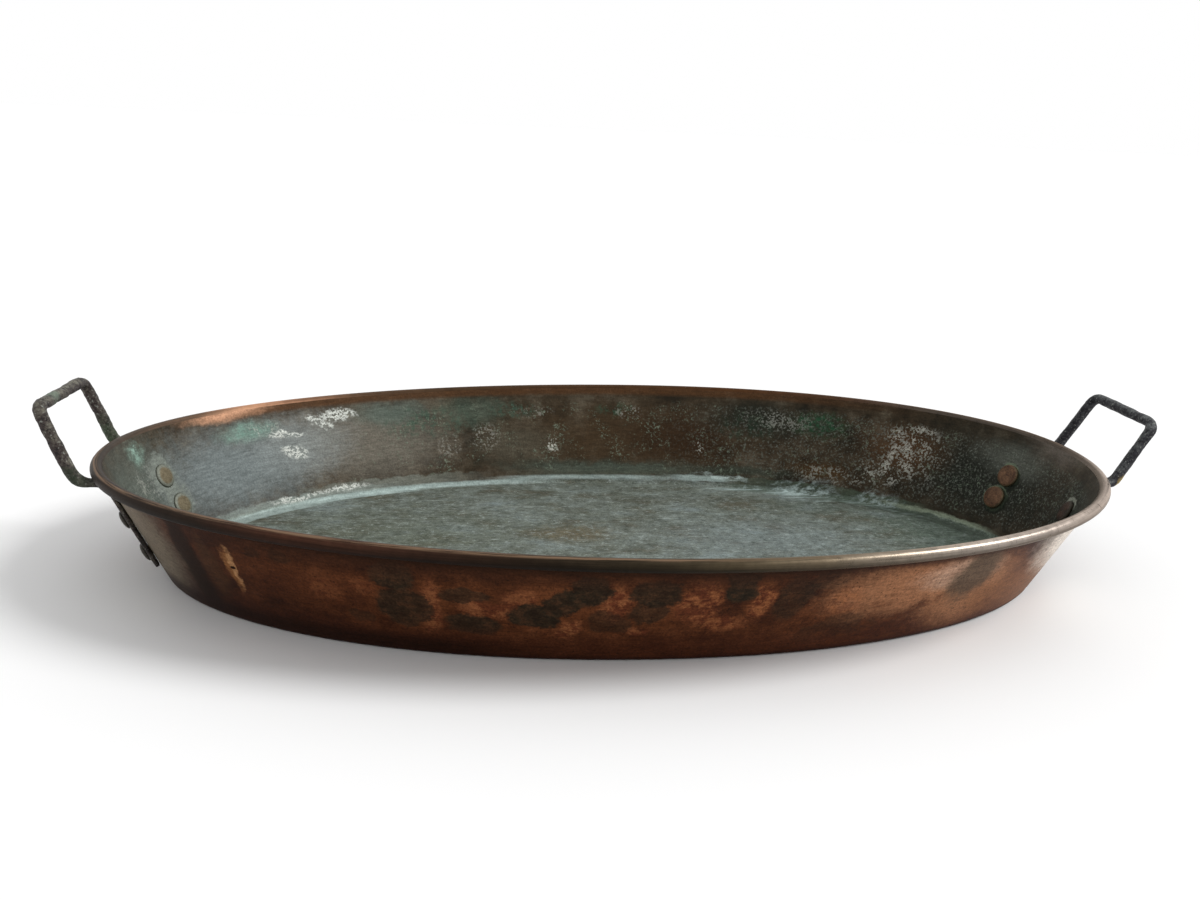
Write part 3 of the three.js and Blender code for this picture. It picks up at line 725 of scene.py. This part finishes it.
# Verdigris and lime specks gather in clusters on the wall, and fine ones at the right
right_of = tin.band(tin.part("X"), -0.19, -0.12)
clusters = tin.times(tin.band(tin.noise(0.017, 5, 0.6), 0.47, 0.62), right_of)
specks = tin.band(tin.noise(0.0020, 6, 0.72), 0.54, 0.62)
on_wall_only = tin.times(tin.band(rise, 0.006, 0.012), tin.band(rise, 0.0535, 0.0490))
mask = tin.times(tin.times(specks, clusters), on_wall_only)
tin.coat(shade(112, 124, 108), mask, 0.7, Roughness=0.8)
right_end = tin.times(tin.band(tin.part("X"), 0.02, 0.14), on_wall_only)
tin.coat(shade(102, 106, 98), tin.times(tin.band(mottle, 0.52, 0.64), right_end), 0.7)
# Round each rivet the sheet is marked: limed at the left; at the right edged with green, paler at
# the near end, with a painted shadow below each head
HEAD_RADIUS = 0.007
for side in ("left", "right"):
    for end in ("near", "far"):
        for level in ("upper", "lower"):
            low, high = (Vector(part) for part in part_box(f"rivet_{side}_{end}_{level}"))
            middle = (low + high) / 2
            at = on_wall(rim_angle(middle), middle.z)
            if side == "left":
                mask = tin.spot(at, (0.0135, THROUGH, 0.0145), 0.45, 0.9)
                tin.coat(shade(126, 132, 124), mask, 0.75, Roughness=0.8)
            else:
                outline = shade(112, 126, 104) if end == "far" else shade(158, 162, 148)
                tin.coat(outline, tin.spot(at, (0.0092,) * 3, 0.12, 0.2), 0.7)
                # A painted shadow under the head, down the slope and to one side
                below = at @ Matrix.Translation((-0.0010, 0, -0.0018))
                tin.coat(shade(20, 26, 19), tin.spot(below, (0.0092,) * 3, 0.12, 0.2), 0.8)
grain = tin.noise(0.0010, 5, 0.68)
tin.tone(grain, (0.3, 0.70), (0.7, 1.30))
brushed = tin.noise(0.008, 5, 0.70, (1, 1, 0.16))
tin.tone(brushed, (0.3, 0.70), (0.7, 1.30))
relief = tin.plus(grain, tin.times(mottle, 0.5))
tin_inside = tin.done(relief, 0.00012)

body = new_piece("copper_body", bm, [copper_outside, rim_bead, tin_inside])
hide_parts("pan_body")
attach(body, "root")


# Rim wire. A round iron wire, bent to the oval and closed up inside the bead, out of sight. It
# keeps the rim round and stiff.

bm = bmesh.new()
bmesh.ops.create_circle(bm, cap_ends=False, segments=12, radius=WIRE_RADIUS)
bmesh.ops.rotate(bm, verts=bm.verts, cent=(0, 0, 0), matrix=Matrix.Rotation(math.pi / 2, 3, "X"))
bmesh.ops.translate(bm, verts=bm.verts, vec=(RIM_HALF_LENGTH, 0, RIM_HEIGHT))
bmesh.ops.spin(
    bm,
    geom=[*bm.verts, *bm.edges],
    cent=(0, 0, 0),
    axis=(0, 0, 1),
    angle=2 * math.pi,
    steps=STEPS_AROUND,
    use_merge=True,
    use_duplicate=False,
)
bmesh.ops.remove_doubles(bm, verts=bm.verts, dist=1e-7)
bmesh.ops.recalc_face_normals(bm, faces=bm.faces)
for vert in bm.verts:
    point, outward = rim_place(math.atan2(vert.co.y, vert.co.x))
    drawn = point + outward * (math.hypot(vert.co.x, vert.co.y) - RIM_HALF_LENGTH)
    vert.co = settle(Vector((drawn.x, drawn.y, vert.co.z)))
wire_finish = Finish("wire_iron", 0.7, 0.6)
scale = wire_finish.noise(0.004, 4, 0.6)
wire_finish.colour = wire_finish.ramp(scale, (0.4, shade(52, 46, 40)), (0.62, shade(96, 68, 48)))
wire = new_piece("iron_rim_wire", bm, [wire_finish.done(scale, 0.0001)])
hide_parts("rim_wire")
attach(wire, "root")


# Handles. An iron rod each, bent hot to a square bail, with both ends hammered into flat feet
# that pass under the bead and lie on the wall. The surface is uneven from the hammer and rust.

# The rod is made anew from grains of this size. It starts to be rough at one height and is at its
# roughest a little above it. Lumps from the hammer and dents from rust follow each other so many
# to the metre, and the share wasted is what the rod has lost to them. With the smoothing it leaves
# the rods about half a millimetre thinner than their nodes.
ROD_GRAIN = 0.0006
ROUGH_FROM = 0.048
ROUGH_WITHIN = 0.012
LUMPS_PER_METRE = 150
DENTS_PER_METRE = 480
WASTED = 0.4
iron = {}
for side, dark, middle_grey, pale, top_dust_and_highlight in (
    ("left", shade(34, 27, 27), shade(60, 51, 48), shade(94, 89, 79), shade(122, 120, 106)),
    ("right", shade(20, 19, 25), shade(38, 37, 43), shade(68, 69, 71), shade(104, 108, 108)),
):
    finish = Finish("forged_iron_" + side, 0.6, 0.3, 0.008, 0.3)
    scale = finish.noise(0.005, 6, 0.7)
    finish.colour = finish.ramp(scale, (0.36, dark), (0.5, middle_grey), (0.66, pale))
    # Along the top of the bar, where it faces up, a paler grey: partly dust, partly a painted
    # highlight
    upward = finish.add("ShaderNodeNewGeometry").outputs["Normal"]
    upward = finish.add("ShaderNodeSeparateXYZ", {"Vector": upward}).outputs["Z"]
    top_dust_and_highlight_mask = finish.times(finish.band(upward, 0.1, 0.9), finish.band(scale, 0.35, 0.6))
    finish.coat(top_dust_and_highlight, top_dust_and_highlight_mask, 0.6)
    pits = finish.noise(0.0014, 5, 0.72)
    finish.coat(shade(17, 15, 16), finish.band(pits, 0.47, 0.39), 0.85)
    finish.coat(shade(150, 153, 144), finish.band(pits, 0.57, 0.65), 0.75, Roughness=0.8)
    iron[side] = (finish, finish.plus(pits, scale))
finish = iron["left"][0]
for x, y, z, size, colour, strength in (
    (-0.283, 0.036, 0.058, 0.016, shade(66, 84, 60), 0.7),
    (-0.290, -0.012, 0.093, 0.008, shade(116, 132, 116), 0.6),
    (-0.276, -0.036, 0.052, 0.014, shade(44, 56, 38), 0.7),
):
    at = Matrix.Translation((x, y, z))
    finish.coat(colour, finish.spot(at, (size,) * 3, 0.7, 1.2), strength)
finish = iron["right"][0]
# A rust spot, and a painted brassy glint low on the near leg
for x, y, z, size, colour, strength in (
    (0.296, -0.012, 0.088, 0.0030, shade(84, 44, 30), 0.9),
    (0.279, -0.031, 0.055, 0.0055, shade(168, 146, 88), 0.8),
):
    at = Matrix.Translation((x, y, z))
    finish.coat(colour, finish.spot(at, (size,) * 3, 0.4, 0.8), strength)
iron_finish = {side: finish.done(relief, 0.0004) for side, (finish, relief) in iron.items()}


def forged(side, blow):
    """The node's shape with its facets hammered out and an uneven surface, as deep as the blow."""
    node = "handle_" + side
    bm = bmesh.new()
    bm.from_mesh(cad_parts[node].data)
    bmesh.ops.remove_doubles(bm, verts=bm.verts, dist=1e-6)
    piece = new_piece("iron_" + node, bm, [iron_finish[side]])
    remesh = piece.modifiers.new("even_out", "REMESH")
    remesh.mode = "VOXEL"
    remesh.voxel_size = ROD_GRAIN
    smooth = piece.modifiers.new("hammer_out", "SMOOTH")
    smooth.factor = 0.5
    smooth.iterations = 4
    evaluated = piece.evaluated_get(bpy.context.evaluated_depsgraph_get())
    even = bpy.data.meshes.new_from_object(evaluated)
    piece.modifiers.clear()
    bm = bmesh.new()
    bm.from_mesh(even)
    bpy.data.meshes.remove(even)
    bm.normal_update()
    for vert in bm.verts:
        # The foot that lies on the wall stays true, and the rod above it is the roughest
        rough = min(max((vert.co.z - ROUGH_FROM) / ROUGH_WITHIN, 0), 1)
        dents = noise.noise(vert.co * DENTS_PER_METRE)
        lump = noise.noise(vert.co * LUMPS_PER_METRE) + dents * 0.5 - WASTED
        vert.co = settle(vert.co + vert.normal * lump * blow * rough)
    # The twist of the rim must not lift the bar out of the height it was forged to
    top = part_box(node)[1][2]
    over = max(0, max(vert.co.z for vert in bm.verts) - top)
    for vert in bm.verts:
        vert.co.z -= over * min(max((vert.co.z - RIM_HEIGHT) / (top - RIM_HEIGHT), 0), 1)
    bm.to_mesh(piece.data)
    bm.free()
    for polygon in piece.data.polygons:
        polygon.use_smooth = True
    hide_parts(node)
    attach(piece, "root")


forged("left", 0.00042)
forged("right", 0.00028)


# Rivets. Soft copper, a flat head on the inside of the wall and the shank hammered over into a
# low round tail on the handle's foot.

HEAD_THICKNESS = 0.0015
SHANK_RADIUS = 0.0026
TAIL_RADIUS = 0.0048
TAIL_HEIGHT = 0.0017
# The edge of a head is hammered down until it all but touches the sheet, which is looked for
# from a little way inside the pan
SEAT_GAP = 0.00005
LOOK_FROM = 0.001


def rivet_finish(name, low_colour, high_colour, edge_colour, edge_from):
    """Cloudy brown copper, crusted round the edge of the head and sooty on the tail."""
    finish = Finish(name, 0.5, 0.3, 0.001, 0.25)
    cloud = finish.noise(0.004, 6, 0.68)
    finish.colour = finish.ramp(cloud, (0.38, low_colour), (0.62, high_colour))
    crust = finish.plus(finish.measure("edge"), finish.times(finish.fringe, 0.3))
    finish.coat(edge_colour, finish.band(crust, edge_from + 0.05, edge_from + 0.25), 0.85)
    finish.coat(shade(38, 33, 28), finish.measure("tail"), 0.9, Metallic=0.2)
    grain = finish.noise(0.0010, 4, 0.68)
    finish.tone(grain, (0.3, 0.72), (0.7, 1.28))
    return finish.done(finish.plus(cloud, grain), 0.0003)


tan = rivet_finish(
    "tan_rivet_copper", shade(94, 84, 63), shade(114, 104, 82), shade(118, 123, 113), 0.70
)
brown = rivet_finish(
    "brown_rivet_copper", shade(70, 48, 33), shade(112, 82, 59), shade(112, 102, 78), 0.92
)
shaded = rivet_finish(
    "shaded_rivet_copper", shade(38, 28, 21), shade(66, 47, 35), shade(52, 48, 38), 0.85
)
rivet_copper = {
    ("left", "near"): tan,
    ("left", "far"): tan,
    ("right", "near"): shaded,
    ("right", "far"): brown,
}


# The sheet that the heads are set down on
sheet = BVHTree.FromPolygons(
    [vert.co for vert in body.data.vertices], [face.vertices for face in body.data.polygons]
)


def rivet(side, end, level):
    """One rivet on the axis of its node, from the node's own lowest to highest point along it."""
    node = f"rivet_{side}_{end}_{level}"
    points = [vert.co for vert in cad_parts[node].data.vertices]
    centre = sum(points, Vector()) / len(points)
    out = rim_place(math.radians(rim_angle(centre)))[1]
    axis = out * math.cos(WALL_LEAN) - Vector((0, 0, math.sin(WALL_LEAN)))
    along = [(point - centre).dot(axis) for point in points]
    head, tail = min(along), max(along)

    # The heads at the left are worn flat to a thin edge, those at the right still have a round one
    if side == "left":
        crown = ((0, 0.0010), (0.4, 0.0010), (0.6, 0.0011), (0.74, 0.0013), (0.87, 0.0015))
    else:
        crown = ((0, 0), (0.3, 0), (0.6, 0.0001), (0.76, 0.0002), (0.88, 0.0004), (0.96, 0.0008))
    profile = [(HEAD_RADIUS * share, head + drop) for share, drop in crown]
    profile += [(HEAD_RADIUS, head + HEAD_THICKNESS), (SHANK_RADIUS, head + HEAD_THICKNESS)]
    profile += [(SHANK_RADIUS, tail - TAIL_HEIGHT), (TAIL_RADIUS, tail - TAIL_HEIGHT)]
    profile += [
        (TAIL_RADIUS * math.cos(t), tail - TAIL_HEIGHT * (1 - math.sin(t)))
        for t in (0.25, 0.55, 0.85, 1.15, 1.4)
    ]
    profile += [(0, tail)]
    bm = bmesh.new()
    edge_layer = bm.verts.layers.float.new("edge")
    tail_layer = bm.verts.layers.float.new("tail")
    seat_layer = bm.verts.layers.int.new("seat")
    chain = [bm.verts.new((radius, 0, height)) for radius, height in profile]
    edges = [bm.edges.new(pair) for pair in zip(chain, chain[1:])]
    bmesh.ops.spin(
        bm,
        geom=[*chain, *edges],
        cent=(0, 0, 0),
        axis=(0, 0, 1),
        angle=2 * math.pi,
        steps=48,
        use_merge=True,
        use_duplicate=False,
    )
    bmesh.ops.remove_doubles(bm, verts=bm.verts, dist=1e-7)
    bmesh.ops.recalc_face_normals(bm, faces=bm.faces)
    for vert in bm.verts:
        vert[edge_layer] = math.hypot(vert.co.x, vert.co.y) / HEAD_RADIUS
        vert[tail_layer] = float(vert.co.z > head + HEAD_THICKNESS * 1.1)
        outermost = vert[edge_layer] > 0.99
        vert[seat_layer] = int(outermost and abs(vert.co.z - head - HEAD_THICKNESS) < 0.00001)
    stand = axis.to_track_quat("Z", "Y").to_matrix().to_4x4()
    stand.translation = centre
    bmesh.ops.transform(bm, matrix=stand, verts=bm.verts)
    for vert in bm.verts:
        vert.co = settle(vert.co)
        if vert[seat_layer]:
            vert.co = sheet.ray_cast(vert.co - axis * LOOK_FROM, axis)[0] - axis * SEAT_GAP
    piece = new_piece("copper_" + node, bm, [rivet_copper[side, end]])
    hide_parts(node)
    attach(piece, "root")


for side in ("left", "right"):
    for end in ("near", "far"):
        for level in ("upper", "lower"):
            rivet(side, end, level)


# Floor, light and camera. A white studio floor that runs out of view, a soft white sky, a broad
# light from the right, and the camera where the photograph was taken.

FLOOR_HALF = 30
SKY_LIGHT = 0.7
KEY_LIGHT = 1.9
KEY_FROM = (0.74, -0.10, 0.67)
KEY_SPREAD = 24
bm = bmesh.new()
bmesh.ops.create_grid(bm, x_segments=1, y_segments=1, size=FLOOR_HALF)
floor_finish = Finish("pale_floor", 0.9, 0.0)
cloud = floor_finish.noise(0.5, 2)
pale, paler = shade(249, 249, 249), shade(251, 251, 251)
floor_finish.colour = floor_finish.ramp(cloud, (0.3, pale), (0.7, paler))
floor = new_piece("studio_floor", bm, [floor_finish.done(cloud, 0.0)])

world = bpy.data.worlds.new("studio")
bpy.context.scene.world = world
world.use_nodes = True
sky = world.node_tree
rays = sky.nodes.new("ShaderNodeLightPath")
seen = sky.nodes.new("ShaderNodeMath")
seen.operation = "MAXIMUM"
sky.links.new(rays.outputs["Is Camera Ray"], seen.inputs[0])
sky.links.new(rays.outputs["Is Glossy Ray"], seen.inputs[1])
level = sky.nodes.new("ShaderNodeMapRange")
level.inputs["To Min"].default_value = SKY_LIGHT
level.inputs["To Max"].default_value = 1
sky.links.new(seen.outputs[0], level.inputs["Value"])
sky.links.new(level.outputs["Result"], sky.nodes["Background"].inputs["Strength"])
sky.nodes["Background"].inputs["Color"].default_value = (1, 1, 1, 1)

key = bpy.data.lights.new("key", "SUN")
key.energy = KEY_LIGHT
key.angle = math.radians(KEY_SPREAD)
key_lamp = bpy.data.objects.new("key", key)
key_lamp.rotation_euler = Vector(KEY_FROM).to_track_quat("Z", "Y").to_euler()
bpy.context.scene.collection.objects.link(key_lamp)

# Turns are in degrees, and the sensor and the lens in millimetres
CAMERA_PLACE = (-0.0969, -0.60078, 0.23539)
CAMERA_TURN = (74.0287, -2.4959, -7.4513)
SENSOR_WIDTH = 36
LENS = 34.5
camera = bpy.data.cameras.new("photo")
camera.sensor_width = SENSOR_WIDTH
camera.lens = LENS
viewer = bpy.data.objects.new("photo", camera)
viewer.location = CAMERA_PLACE
viewer.rotation_euler = [math.radians(turn) for turn in CAMERA_TURN]
bpy.context.scene.collection.objects.link(viewer)
bpy.context.scene.camera = viewer
bpy.context.scene.view_settings.view_transform = "Standard"
